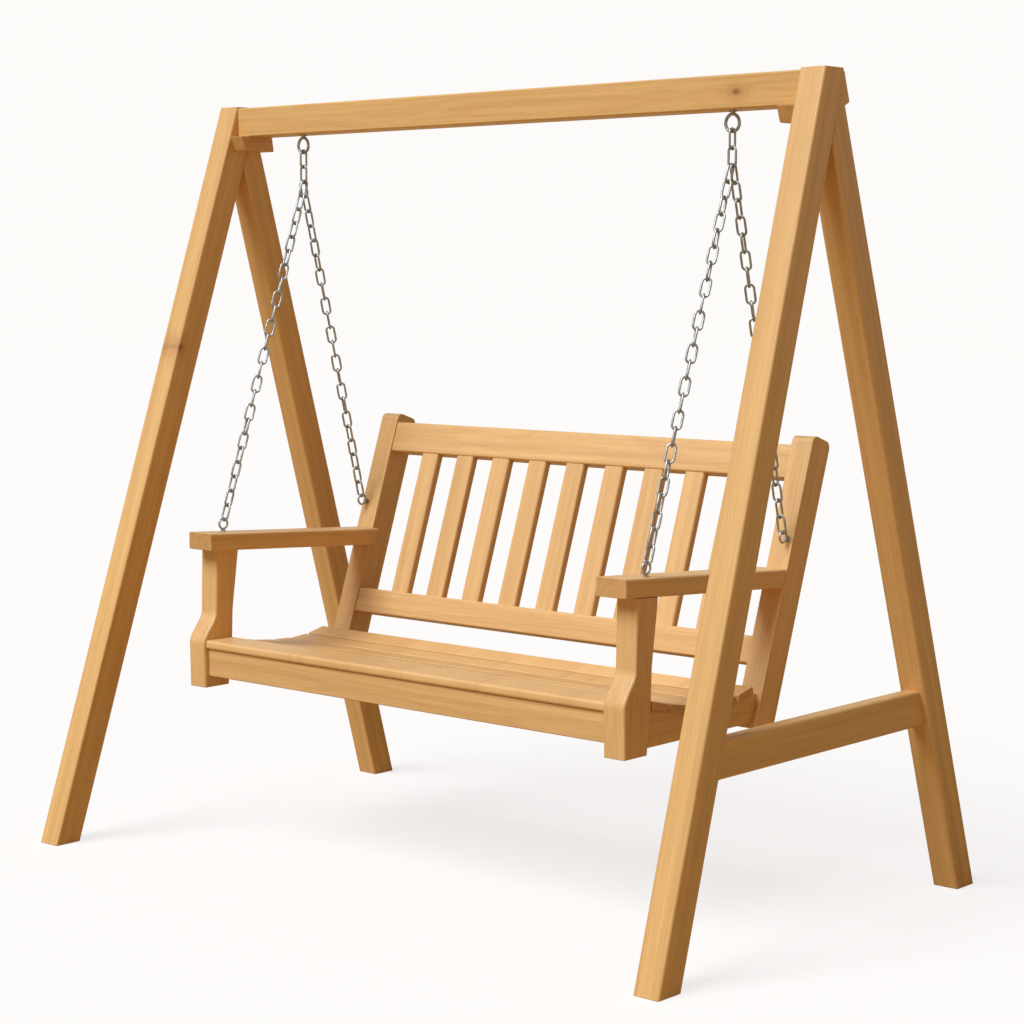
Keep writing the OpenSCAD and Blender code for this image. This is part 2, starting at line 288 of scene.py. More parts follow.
@dataclass(frozen=True)
class SatinPine:
    """Planed pine, stained honey and sealed with a satin varnish.

    It gives soft long streaks from the growth rings, fine darker flecks along the fibres and a low sheen.
    """

    name: str
    early: str = "e1af6b"
    late: str = "cb8845"
    fleck: str = "9a5a2a"
    knot_heart: str = "7e4a20"
    knot_halo: str = "b67a3e"
    end_grain: str = "b98247"
    ring_spacing: float = 7.5 * MM  # real rings are 2 to 4 mm; drawn wider so that they show at this distance
    fibre_width: float = 2.2 * MM  # real fibres are far finer; drawn as coarse as they need to be to show
    fibre_length: float = 70 * MM
    fleck_width: float = 1.7 * MM
    fleck_length: float = 34 * MM
    streak_width: float = 17 * MM
    streak_length: float = 900 * MM
    slow_bend: float = 52 * MM
    quick_bend: float = 3.6 * MM
    knot_push: float = 11 * MM
    ring_share: float = 0.20
    fleck_share: float = 0.30
    halo_share: float = 0.55
    end_share: float = 0.55
    streak_depth: float = 0.46
    fibre_depth: float = 0.24
    tone_depth: float = 0.05

    def build(self) -> bpy.types.Material:
        """Builds the varnished wood from its rings outwards.

        Returns:
            The material. It reads each board's own grain, cut, knot, tone and end attributes.
        """
        material, tree = blank_material(self.name)
        step = partial(outcome, tree, "ShaderNodeMath")
        move = partial(outcome, tree, "ShaderNodeVectorMath")

        def figure(length: float, width: float, detail: int = 2, rough: float = 0.5) -> bpy.types.NodeSocket:
            """Adds noise from 0 to 1, in patches of that length along the grain and that width across it."""
            stretched = move("MULTIPLY", place, (1 / length, 1 / width, 1 / width))
            inputs = {"Vector": stretched, "Scale": 1.0, "Detail": detail, "Roughness": rough}
            return add_node(tree, "ShaderNodeTexNoise", inputs).outputs["Fac"]

        read = {name: add_node(tree, "ShaderNodeAttribute", attribute_name=name).outputs
                for name in ("grain", "cut", "knot", "tone", "end")}
        place = move("ADD", read["grain"]["Vector"], read["cut"]["Vector"])

        # A knot runs through its board: its distance counts radii from its heart, longer along the grain.
        spread = move("MULTIPLY", read["knot"]["Vector"], (0.62, 1, 0))
        away = add_node(tree, "ShaderNodeVectorMath", {0: spread}, operation="LENGTH").outputs["Value"]
        ragged = step("MULTIPLY_ADD", step("SUBTRACT", figure(12 * MM, 5 * MM), 0.5), 0.9, away)
        heart = step("SUBTRACT", 1.0, step("SMOOTH_MIN", ragged, 1.0, 0.4), use_clamp=True)
        halo = step("POWER", 2.718, step("MULTIPLY", step("MULTIPLY", ragged, ragged), -0.16))

        # Growth rings are circles round the pith, bent by slow noise and pushed aside by a knot.
        flat = move("MULTIPLY", place, (0, 1, 1))
        radius = add_node(tree, "ShaderNodeVectorMath", {0: flat}, operation="LENGTH").outputs["Value"]
        slow = step("MULTIPLY", step("SUBTRACT", figure(650 * MM, 60 * MM), 0.5), self.slow_bend)
        quick = step("MULTIPLY", step("SUBTRACT", figure(120 * MM, 12 * MM), 0.5), self.quick_bend)
        pushed = step("MULTIPLY", halo, self.knot_push)
        bent = step("ADD", step("ADD", radius, slow), step("ADD", quick, pushed))
        ring = step("FRACT", step("DIVIDE", bent, self.ring_spacing))
        ramp = add_node(tree, "ShaderNodeValToRGB", {0: ring})
        ramp.color_ramp.interpolation = "EASE"
        stops = ramp.color_ramp.elements
        stops.new(0.30)
        for stop, position, value in zip(stops, (0.0, 0.30, 0.86), (0.32, 0.0, 1.0)):
            stop.position = position
            stop.color = (value, value, value, 1)
        late_wood = ramp.outputs["Color"]

        fibres = figure(self.fibre_length, self.fibre_width, 4, 0.62)
        streaks = figure(self.streak_length, self.streak_width, 3, 0.55)
        sparse = step("SUBTRACT", figure(self.fleck_length, self.fleck_width), 0.60)
        flecks = step("MULTIPLY", sparse, 5.0, use_clamp=True)

        base: Any = linear(self.early)
        for cover, share, layer in (
            (late_wood, self.ring_share, self.late),
            (flecks, self.fleck_share, self.fleck),
            (halo, self.halo_share, self.knot_halo),
            (heart, 1.0, self.knot_heart),
            (read["end"]["Fac"], self.end_share, self.end_grain),
        ):
            cover = step("MULTIPLY", cover, share)
            laid = add_node(tree, "ShaderNodeMix", {0: cover, 6: base, 7: linear(layer)}, data_type="RGBA")
            base = laid.outputs[2]
        shade = step("MULTIPLY_ADD", step("SUBTRACT", streaks, 0.5), self.streak_depth, 1.0)
        shade = step("ADD", shade, step("MULTIPLY", step("SUBTRACT", fibres, 0.5), self.fibre_depth))
        shade = step("ADD", shade, step("MULTIPLY", read["tone"]["Fac"], self.tone_depth))
        green, blue = step("POWER", shade, 1.25), step("POWER", shade, 1.6)
        level = add_node(tree, "ShaderNodeCombineXYZ", {0: shade, 1: green, 2: blue})
        colour = add_node(tree, "ShaderNodeMix", {
            0: 1.0, 6: base, 7: level}, data_type="RGBA", blend_type="MULTIPLY")

        gloss = step("ADD", step("MULTIPLY", late_wood, -0.05), step("MULTIPLY_ADD", fibres, 0.16, 0.40))
        pores = step("SUBTRACT", fibres, step("MULTIPLY", flecks, 0.6))
        height = step("ADD", step("MULTIPLY", late_wood, 0.5), pores)
        bump = add_node(tree, "ShaderNodeBump", {"Height": height, "Strength": 0.35, "Distance": 0.25 * MM})
        shader = add_node(tree, "ShaderNodeBsdfPrincipled", {
            "Base Color": colour.outputs[2],
            "Roughness": gloss,
            "Normal": bump,
            "IOR": 1.48,
            "Coat Weight": 0.18,
            "Coat Roughness": 0.28,
        })
        add_node(tree, "ShaderNodeOutputMaterial", {"Surface": shader})
        return material


@dataclass(frozen=True)
class ZincSteel:
    """Bent steel wire, zinc plated and a little dulled outdoors.

    It gives a cool grey metal with soft highlights and cloudy, slightly rougher patches.
    """

    name: str = "zinc_plated_steel"
    bright: str = "d2d0cb"
    dull: str = "7b7973"
    patch: float = 9 * MM
    grit: float = 0.8 * MM  # the real grit is finer; drawn coarser so that it shows close up

    def build(self) -> bpy.types.Material:
        """Builds the plated metal.

        Returns:
            The material. It reads Object coordinates.
        """
        material, tree = blank_material(self.name)
        place = add_node(tree, "ShaderNodeTexCoord").outputs["Object"]
        clouds = add_node(tree, "ShaderNodeTexNoise", {"Vector": place, "Scale": 1 / self.patch, "Detail": 3})
        specks = add_node(tree, "ShaderNodeTexNoise", {"Vector": place, "Scale": 1 / self.grit, "Detail": 2})
        colour = add_node(tree, "ShaderNodeMix", {
            0: clouds.outputs["Fac"], 6: linear(self.dull), 7: linear(self.bright)}, data_type="RGBA")
        rough = add_node(tree, "ShaderNodeMapRange", {
            0: clouds.outputs["Fac"], 1: 0.3, 2: 0.7, 3: 0.30, 4: 0.46})
        bump = add_node(tree, "ShaderNodeBump", {
            "Height": specks.outputs["Fac"], "Strength": 0.2, "Distance": 0.05 * MM})
        shader = add_node(tree, "ShaderNodeBsdfPrincipled", {
            "Base Color": colour.outputs[2],
            "Metallic": 1.0,
            "Roughness": rough,
            "Normal": bump,
        })
        add_node(tree, "ShaderNodeOutputMaterial", {"Surface": shader})
        return material


@dataclass(frozen=True)
class StudioPaper:
    """Matt white paper, lit from below as a light table. It gives a clean ground with pale, soft shadows."""

    name: str = "studio_paper"
    glow: str = "e4e4e5"
    shade: str = "837c73"
    bounce: str = "bc9f74"

    def build(self) -> bpy.types.Material:
        """Builds the paper.

        Returns:
            The material: what is seen glows, and what it throws back on the swing is dimmer and warm.
        """
        material, tree = blank_material(self.name)
        seen = add_node(tree, "ShaderNodeLightPath").outputs["Is Camera Ray"]
        table = add_node(tree, "ShaderNodeEmission", {"Color": linear(self.glow), "Strength": 1.0})
        paper = add_node(tree, "ShaderNodeBsdfDiffuse", {"Color": linear(self.shade)})
        lit = add_node(tree, "ShaderNodeAddShader", {0: table, 1: paper})
        thrown = add_node(tree, "ShaderNodeBsdfDiffuse", {"Color": linear(self.bounce)})
        mixed = add_node(tree, "ShaderNodeMixShader", {0: seen, 1: thrown, 2: lit})
        add_node(tree, "ShaderNodeOutputMaterial", {"Surface": mixed})
        return material


# -------------------- boards


@dataclass(frozen=True)
class Knot:
    """A knot in a board: its place as a share of the board's length and width, and its radius."""

    along: float
    up: float
    radius: float = 7 * MM


@dataclass
class Board:
    """One wooden piece, drawn from the outline of its CAD node.

    Attributes:
        node: the CAD node it stands for, whose name it takes.
        body: the body it moves with.
        slot: the record's slot of its finish.
        across: the direction its two drawn faces look in.
        ease: radius of the edges along the grain.
        end_ease: radius of the edges round its ends.
        seam_ease: radius of the edges along a close joint.
        knot: the one knot it shows, or none.
        mates: the CAD nodes it is closely fitted to.
    """

    SOFT_TURN = math.radians(22)  # flatter corners are left as they are
    END_TURN = 0.72  # how squarely a face looks along the fibres to count as an end
    SEAM_REACH = 0.4 * MM
    SPLIT_CLEAR = 8 * MM
    NO_KNOT = 60.0  # radii away from any knot

    node: str
    body: Body
    slot: Slot
    across: Across = Across.SIDEWAYS
    ease: float = 4.5 * MM
    end_ease: float = 1.8 * MM
    seam_ease: float = 0.5 * MM
    knot: Optional[Knot] = None
    mates: tuple[str, ...] = ()
    obj: Optional[bpy.types.Object] = field(default=None, init=False)
    fibres: Vector = field(default_factory=Vector, init=False)

    def outline(self, mesh: bmesh.types.BMesh, side: int) -> list[Vector]:
        """Finds the outer outline of the largest flat face on one side.

        Args:
            mesh: the CAD node's mesh with its doubles merged.
            side: 1 for the face that looks along self.across, -1 for the one behind it.

        Returns:
            The outline's corners in order.
        """
        planes: dict[tuple, list[bmesh.types.BMFace]] = {}
        for face in mesh.faces:
            if face.normal.dot(self.across.value) * side > 0.9 and face.calc_area() > 1e-9:
                reach = face.calc_center_median().dot(face.normal)
                key = (*[round(c, 2) for c in face.normal], round(reach, 4))
                planes.setdefault(key, []).append(face)
        faces = set(max(planes.values(), key=lambda group: sum(f.calc_area() for f in group)))
        rim = [e for f in faces for e in f.edges if sum(g in faces for g in e.link_faces) == 1]
        following: dict[bmesh.types.BMVert, list[bmesh.types.BMVert]] = {}
        for edge in rim:
            a, b = edge.verts
            following.setdefault(a, []).append(b)
            following.setdefault(b, []).append(a)
        loops, used = [], set()
        for start in following:
            if start in used:
                continue
            loop, vert = [], start
            while vert is not None:
                used.add(vert)
                loop.append(vert.co.copy())
                vert = next((v for v in following[vert] if v not in used), None)
            loops.append(loop)

        def girth(loop: list[Vector]) -> float:
            """The length round a loop."""
            return sum((loop[i] - loop[i - 1]).length for i in range(len(loop)))

        loop = max(loops, key=girth)
        corners = []
        for i, point in enumerate(loop):
            before, after = point - loop[i - 1], loop[(i + 1) % len(loop)] - point
            if before.length > 1e-6 and after.length > 1e-6 and before.angle(after) > math.radians(0.3):
                corners.append(point)
        return corners

    def faces(self) -> tuple[list[Vector], list[Vector]]:
        """Pairs up the outlines of the two drawn faces.

        Returns:
            The near and the far outline, with their corners in the same order.
        """
        mesh = bmesh.new()
        mesh.from_mesh(FRAME["nodes"][self.node].data)
        bmesh.ops.remove_doubles(mesh, verts=mesh.verts, dist=0.02 * MM)
        mesh.normal_update()
        near, far = self.outline(mesh, 1), self.outline(mesh, -1)
        mesh.free()
        direction = self.across.value

        def gap(a: Vector, b: Vector) -> float:
            """How far apart two points are, looking along the drawn direction."""
            apart = a - b
            return (apart - direction * apart.dot(direction)).length

        partners = [min(far, key=lambda q: gap(p, q)) for p in near]
        if len({tuple(p) for p in partners}) != len(near):
            raise RuntimeError(f"{self.node}: its two faces have outlines that don't pair up")
        return near, partners

    def split(self, near: list[Vector], far: list[Vector]) -> tuple[list[Vector], list[Vector]]:
        """Adds a corner to both outlines wherever the corner of a fitted neighbour meets an edge.

        Args:
            near: the near outline.
            far: the far outline, in the same order.

        Returns:
            The two outlines with their added corners.
        """
        meeting = [vert.co for mate in self.mates for vert in FRAME["nodes"][mate].data.vertices]
        split_near, split_far = [], []
        for i, start in enumerate(near):
            edge = near[(i + 1) % len(near)] - start
            shares = set()
            for point in meeting:
                share = (point - start).dot(edge) / edge.length_squared
                clear = min(share, 1 - share) * edge.length
                if clear > self.SPLIT_CLEAR and (start + edge * share - point).length < 0.5 * MM:
                    shares.add(round(share, 3))
            other = far[(i + 1) % len(far)] - far[i]
            for share in [0.0, *sorted(shares)]:
                split_near.append(start + edge * share)
                split_far.append(far[i] + other * share)
        return split_near, split_far

    def grain(self, points: list[Vector]) -> Vector:
        """The direction of the fibres: along the longest straight edge of the blank."""
        edges = [points[i] - points[i - 1] for i in range(len(points))]
        longest = max(edges, key=lambda e: e.length).normalized()
        return longest if max(longest, key=abs) > 0 else -longest

    def build(self) -> "Board":
        """Draws the board and eases its edges.

        Returns:
            The board, with its object made.
        """
        near, far = self.split(*self.faces())
        count = len(near)
        fitted = []
        for mate in self.mates:
            solid = FRAME["nodes"][mate].data
            corners = [v.co for v in solid.vertices]
            fitted.append(BVHTree.FromPolygons(corners, [p.vertices for p in solid.polygons]))
        depth = near[0] - far[0]
        self.fibres = self.grain(near)
        if depth.length > max((near[i] - near[i - 1]).length for i in range(count)):
            self.fibres = self.across.value.copy()
        bm = bmesh.new()
        front = [bm.verts.new(p) for p in near]
        back = [bm.verts.new(p) for p in far]
        bm.faces.new(front)
        bm.faces.new(list(reversed(back)))
        for i in range(count):
            j = (i + 1) % count
            bm.faces.new((front[j], front[i], back[i], back[j]))
        bmesh.ops.recalc_face_normals(bm, faces=bm.faces)
        weights = bm.edges.layers.float.new("bevel_weight_edge")
        widest = max(self.ease, self.end_ease)
        for edge in bm.edges:
            a, b = (face.normal for face in edge.link_faces)
            if a.angle(b) < self.SOFT_TURN:
                continue
            is_end = max(abs(a.dot(self.fibres)), abs(b.dot(self.fibres))) > self.END_TURN
            centre = (edge.verts[0].co + edge.verts[1].co) / 2
            is_seam = any(tree.find_nearest(centre, self.SEAM_REACH)[0] is not None for tree in fitted)
            edge[weights] = (self.seam_ease if is_seam else self.end_ease if is_end else self.ease) / widest
        mesh = finished_mesh(f"{self.node}_board", bm)
        mesh.shade_smooth()
        self.obj = link_object(f"{self.node}_board", mesh)
        bevel = self.obj.modifiers.new("eased_edges", "BEVEL")
        bevel.limit_method = "WEIGHT"
        bevel.width = widest
        bevel.segments = 4
        self.obj.modifiers.new("flat_faces", "WEIGHTED_NORMAL").keep_sharp = True
        evaluated_mesh(self.obj)
        return self

    def mark(self) -> None:
        """Writes the board's own coordinates, ends, knot and tone on its mesh, once it is cut."""
        mesh = self.obj.data
        chance = random.Random(self.node)
        up = self.across.value.cross(self.fibres).normalized()
        out = self.fibres.cross(up).normalized()
        points = np.array([vert.co for vert in mesh.vertices], np.float32)
        count = len(points)
        own = points @ np.array([self.fibres, up, out], np.float32).T
        low, high = own.min(0), own.max(0)
        own -= (low + high) / 2
        start, side = chance.uniform(-3, 3), chance.uniform(-22, 22) * MM
        pith = np.array([start, side, chance.choice((-1, 1)) * chance.uniform(45, 90) * MM])
        knot = np.full((count, 3), self.NO_KNOT)
        if self.knot:
            span = high - low
            heart = np.array([(self.knot.along - 0.5) * span[0], (self.knot.up - 0.5) * span[1], 0])
            knot = (own - heart) / self.knot.radius
        facing = np.array([abs(face.normal.dot(self.fibres)) for face in mesh.polygons])
        for name, kind, domain, values in (
            ("grain", "FLOAT_VECTOR", "POINT", own + pith),
            ("knot", "FLOAT_VECTOR", "POINT", knot),
            ("tone", "FLOAT", "POINT", np.full(count, chance.uniform(-1, 1))),
            ("end", "FLOAT", "FACE", np.clip((facing - 0.35) / 0.55, 0, 1)),
        ):
            data = mesh.attributes.new(name, kind, domain).data
            member = "vector" if kind == "FLOAT_VECTOR" else "value"
            data.foreach_set(member, values.astype(np.float32).ravel())

    def finish(self, wood: bpy.types.Material) -> bpy.types.Object:
        """Varnishes the board and hands it over.

        Args:
            wood: its finish.

        Returns:
            The finished piece.
        """
        self.mark()
        self.obj.data.materials.clear()
        self.obj.data.materials.append(wood)
        return hand_over(self.obj, self.body, self.slot, self.node)


@dataclass
class Stand:
    """The two A-frames, the beam between them, its cleats and the one crossbar."""

    leg_ease: float = 5.5 * MM
    beam_ease: float = 4.0 * MM
    block_ease: float = 3.0 * MM
    recess_radius: float = 14 * MM
    recess_depth: float = 14 * MM
    fitted: tuple[str, ...] = ("front_leg", "rear_leg", "head_block", "cleat")

    def boards(self) -> list[Board]:
        """Lists the stand's boards with their edges and knots."""
        made = []
        for side in ("left", "right"):
            knot = Knot(0.66, 0.9, 8 * MM) if side == "left" else None
            for part, ease, mark in (
                ("front_leg", self.leg_ease, knot),
                ("rear_leg", self.leg_ease, None),
                ("head_block", self.block_ease, None),
                ("cleat", self.block_ease, None),
            ):
                mates = (*[f"{other}_{side}" for other in self.fitted if other != part], "beam")
                made.append(Board(
                    f"{part}_{side}", Body.STAND, Slot.STAND_WOOD, ease=ease, knot=mark, mates=mates))
        made.append(Board("crossbar", Body.STAND, Slot.STAND_WOOD, ease=7 * MM))
        knot = Knot(0.905, 0.48)
        made.append(Board("beam", Body.STAND, Slot.STAND_WOOD, Across.FORWARDS, self.beam_ease, knot=knot))
        return made

    def sink_nuts(self, beam: bpy.types.Object) -> None:
        """Cuts the two round recesses that the washers and nuts lie in.

        Args:
            beam: the beam's object.
        """
        low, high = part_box("beam_washers")
        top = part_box("beam")[1].z
        inset = (high.y - low.y) / 2
        for x in (low.x + inset, high.x - inset):
            place = Vector((x, (low.y + high.y) / 2, top))
            bm = bmesh.new()
            bmesh.ops.create_cone(
                bm, cap_ends=True, segments=48, radius1=self.recess_radius, radius2=self.recess_radius,
                depth=2 * self.recess_depth)
            bmesh.ops.translate(bm, verts=bm.verts, vec=place)
            cutter = link_object("recess_cutter", finished_mesh("recess_cutter", bm))
            cut = beam.modifiers.new("recess", "BOOLEAN")
            cut.operation = "DIFFERENCE"
            cut.solver = "EXACT"
            cut.object = cutter
            evaluated_mesh(beam)
            discard(cutter)
        beam.data.attributes.remove(beam.data.attributes["custom_normal"])
        beam.data.set_sharp_from_angle(angle=math.radians(50))
        beam.modifiers.new("flat_faces", "WEIGHTED_NORMAL").keep_sharp = True
        evaluated_mesh(beam)

    def build(self, wood: bpy.types.Material) -> None:
        """Builds and dresses every board of the stand.

        Args:
            wood: the stand's finish.
        """
        for board in self.boards():
            board.build()
            if board.node == "beam":
                self.sink_nuts(board.obj)
            board.finish(wood)


@dataclass
class Bench:
    """The bench: posts, arms, rails, seat and back."""

    post_ease: float = 5.5 * MM
    arm_ease: float = 5.0 * MM
    rail_ease: float = 4.5 * MM
    nosing_ease: float = 7.0 * MM
    slat_ease: float = 3.2 * MM
    back_slat_ease: float = 6.0 * MM
    hidden_ease: float = 1.5 * MM
    seat_slats: int = 6
    back_slats: int = 9
    cut_along: float = 4.0  # how far along the timber a slat's own figure may lie
    cut_aside: float = 20 * MM

    def boards(self) -> list[Board]:
        """Lists the bench's boards, apart from the back slats."""
        sideways, forwards = Across.SIDEWAYS, Across.FORWARDS
        kinds = [(f"{part}_{side}", sideways, ease) for side in ("left", "right") for part, ease in (
            ("front_post", self.post_ease),
            ("rear_post", self.post_ease),
            ("arm", self.arm_ease),
            ("side_rail", self.hidden_ease),
        )]
        kinds += [
            ("top_rail", forwards, self.rail_ease),
            ("lower_rail", forwards, self.rail_ease),
            ("apron", forwards, self.slat_ease),
            ("rear_seat_rail", sideways, self.hidden_ease),
            ("centre_support", sideways, self.hidden_ease),
            ("seat_nosing", sideways, self.nosing_ease),
        ]
        kinds += [(f"seat_slat_{k + 1}", sideways, self.slat_ease) for k in range(self.seat_slats)]
        return [Board(node, Body.BENCH, Slot.BENCH_WOOD, across, ease) for node, across, ease in kinds]

    def slat_tree(self, wood: bpy.types.Material) -> tuple[bpy.types.NodeTree, dict[str, str]]:
        """Builds the Geometry Nodes that set slats out in a row, each cut from another place in the timber.

        Args:
            wood: the slats' finish.

        Returns:
            The tree, and the identifiers of its inputs by their names.
        """
        tree, sockets, given = geometry_tree(
            "back_slat_row", {"Slat": "Geometry", "Count": "Int", "Pitch": "Vector"}, "Row")
        line = add_node(tree, "GeometryNodeMeshLine", {
            "Count": given["Count"], "Start Location": (0, 0, 0), "Offset": given["Pitch"]}, mode="OFFSET")
        row = add_node(tree, "GeometryNodeInstanceOnPoints", {"Points": line, "Instance": given["Slat"]})
        least, most = [(way * self.cut_along, way * self.cut_aside, way * self.cut_aside) for way in (-1, 1)]
        chance = add_node(tree, "FunctionNodeRandomValue", {
            0: least, 1: most, "Seed": 7}, data_type="FLOAT_VECTOR")
        marked = add_node(tree, "GeometryNodeStoreNamedAttribute", {
            "Geometry": row, "Name": "cut", "Value": chance}, data_type="FLOAT_VECTOR", domain="INSTANCE")
        real = add_node(tree, "GeometryNodeRealizeInstances", {"Geometry": marked})
        dressed = add_node(tree, "GeometryNodeSetMaterial", {"Geometry": real, "Material": wood})
        add_node(tree, "NodeGroupOutput", {0: dressed})
        return tree, sockets

    def build_back_slats(self, wood: bpy.types.Material) -> None:
        """Builds one slat and sets out the whole row from it.

        Args:
            wood: the slats' finish.
        """
        names = [f"back_slat_{k + 1}" for k in range(self.back_slats)]
        slat = Board(names[0], Body.BENCH, Slot.BENCH_WOOD, ease=self.back_slat_ease).build()
        slat.mark()
        row = slat.obj
        row.name = "back_slats"
        tree, sockets = self.slat_tree(wood)
        nodes = row.modifiers.new("row", "NODES")
        nodes.node_group = tree
        nodes[sockets["Count"]] = self.back_slats
        nodes[sockets["Pitch"]] = (middle(names[-1]) - middle(names[0])) / (self.back_slats - 1)
        evaluated_mesh(row)
        hand_over(row, Body.BENCH, Slot.BENCH_WOOD, *names)

    def build(self, wood: bpy.types.Material) -> None:
        """Builds and dresses the bench.

        Args:
            wood: the bench's finish.
        """
        for board in self.boards():
            board.build().finish(wood)
        self.build_back_slats(wood)


# -------------------- chains and eyes


@dataclass
class Chain:
    """Straight runs of oval links, each turned a quarter against the one above it.

    Attributes:
        nodes: the CAD nodes whose links it draws again, all of one body.
        name: the piece's name.
        body: the body it moves with.
        wobble: how far a link may turn from its true quarter, in radians.
        twist: the run's slow twist at its middle, as the CAD has it; the two end links have none.
        bend_steps: points on each quarter of a link's outline.
        wire_sides: sides of the wire.
    """

    nodes: tuple[str, ...]
    name: str
    body: Body
    wobble: float = math.radians(6)
    twist: float = math.radians(45)
    bend_steps: int = 5
    wire_sides: int = 10

    def tree(self, steel: bpy.types.Material) -> tuple[bpy.types.NodeTree, dict[str, str]]:
        """Builds the Geometry Nodes that string links between two points.

        Args:
            steel: the links' finish.

        Returns:
            The tree, and the identifiers of its inputs by their names.
        """
        tree, sockets, given = geometry_tree("chain_links", {
            "Start": "Vector", "End": "Vector", "Count": "Int", "Lean": "Float", "Link Length": "Float",
            "Link Width": "Float", "Wire": "Float", "Wobble": "Float", "Twist": "Float"}, "Chain")
        step = partial(outcome, tree, "ShaderNodeMath")
        tall = step("SUBTRACT", given["Link Length"], given["Wire"])
        wide = step("SUBTRACT", given["Link Width"], given["Wire"])
        box = add_node(tree, "GeometryNodeCurvePrimitiveQuadrilateral", {0: wide, 1: tall})
        bend = step("MULTIPLY", wide, 0.4999)
        oval = add_node(tree, "GeometryNodeFilletCurve", {
            "Curve": box, "Radius": bend, "Count": self.bend_steps}, mode="POLY")
        wire = add_node(tree, "GeometryNodeCurvePrimitiveCircle", {
            "Resolution": self.wire_sides, "Radius": step("MULTIPLY", given["Wire"], 0.5)})
        link = add_node(tree, "GeometryNodeCurveToMesh", {"Curve": oval, "Profile Curve": wire})
        upright = add_node(tree, "GeometryNodeTransform", {
            "Geometry": link, "Rotation": (math.pi / 2, 0, 0)})
        line = add_node(tree, "GeometryNodeMeshLine", {
            "Count": given["Count"], "Start Location": given["Start"], "Offset": given["End"]},
            mode="END_POINTS")

        index = add_node(tree, "GeometryNodeInputIndex").outputs[0]
        quarter = step("MULTIPLY", step("SUBTRACT", 1.0, step("MODULO", index, 2.0)), math.pi / 2)
        chance = add_node(tree, "FunctionNodeRandomValue", {
            2: step("MULTIPLY", given["Wobble"], -1.0), 3: given["Wobble"], "Seed": 11}, data_type="FLOAT")
        share = step("DIVIDE", index, step("SUBTRACT", given["Count"], 1.0))
        bulge = step("POWER", step("SINE", step("MULTIPLY", share, math.pi)), 2.0)
        turn = step("MULTIPLY_ADD", bulge, given["Twist"], step("ADD", quarter, chance.outputs[1]))
        about = add_node(tree, "ShaderNodeCombineXYZ", {2: turn})
        lean = add_node(tree, "ShaderNodeCombineXYZ", {0: given["Lean"]})
        turned = add_node(tree, "FunctionNodeEulerToRotation", {0: about})
        leant = add_node(tree, "FunctionNodeEulerToRotation", {0: lean})
        final = add_node(tree, "FunctionNodeRotateRotation", {0: turned, 1: leant}, rotation_space="GLOBAL")
        strung = add_node(tree, "GeometryNodeInstanceOnPoints", {
            "Points": line, "Instance": upright, "Rotation": final})
        real = add_node(tree, "GeometryNodeRealizeInstances", {"Geometry": strung})
        smooth = add_node(tree, "GeometryNodeSetShadeSmooth", {"Geometry": real})
        dressed = add_node(tree, "GeometryNodeSetMaterial", {"Geometry": smooth, "Material": steel})
        add_node(tree, "NodeGroupOutput", {0: dressed})
        return tree, sockets

    def measure(self, node: str) -> dict[str, Any]:
        """Reads a run's two ends and its links' sizes from its CAD node.

        Args:
            node: the CAD node of the run.

        Returns:
            The tree's inputs by name.
        """
        links = islands(node)
        centres = [Vector(points.min(0) + points.max(0)) / 2 for points in links]
        start, end = centres[0], centres[-1]
        along = (end - start).normalized()
        lean = math.atan2(along.y, -along.z)
        square = np.array([(1, 0, 0), along.cross(Vector((1, 0, 0))), along])
        lower = np.ptp(links[-1] @ square.T, axis=0)
        return {
            "Start": start, "End": end, "Count": len(links), "Lean": lean, "Link Length": float(lower[2]),
            "Link Width": float(lower[0]), "Wire": float(lower[1]), "Wobble": self.wobble,
            "Twist": math.copysign(self.twist, start.x),
        }

    def build(self, steel: bpy.types.Material) -> None:
        """Strings every run and joins those of the body into one piece.

        Args:
            steel: the links' finish.
        """
        tree, sockets = self.tree(steel)
        joined = bmesh.new()
        for node in self.nodes:
            run = link_object(f"{node}_run", bpy.data.meshes.new(f"{node}_run"))
            links = run.modifiers.new("links", "NODES")
            links.node_group = tree
            for name, value in self.measure(node).items():
                links[sockets[name]] = value
            evaluated_mesh(run)
            joined.from_mesh(run.data)
            discard(run)
        bmesh.ops.recalc_face_normals(joined, faces=joined.faces)
        mesh = finished_mesh(self.name, joined)
        mesh.shade_smooth()
        mesh.materials.append(steel)
        hand_over(link_object(self.name, mesh), self.body, Slot.STEEL, *self.nodes)


def bridge(bm: bmesh.types.BMesh, rows: list[list[bmesh.types.BMVert]], closed: bool = True) -> None:
    """Fills the faces between each ring of points and the next.

    Args:
        bm: the mesh they go in.
        rows: the rings in order, each with the same number of points, or with one where the shape closes.
        closed: whether the last ring joins the first.
    """
    for low, high in zip(rows, rows[1:] + (rows[:1] if closed else [])):
        for k in range(max(len(low), len(high))):
            below = [low[(k - 1) % len(low)], low[k % len(low)]]
            above = [high[k % len(high)], high[(k - 1) % len(high)]]
            bm.faces.new(list(dict.fromkeys(below + above)))


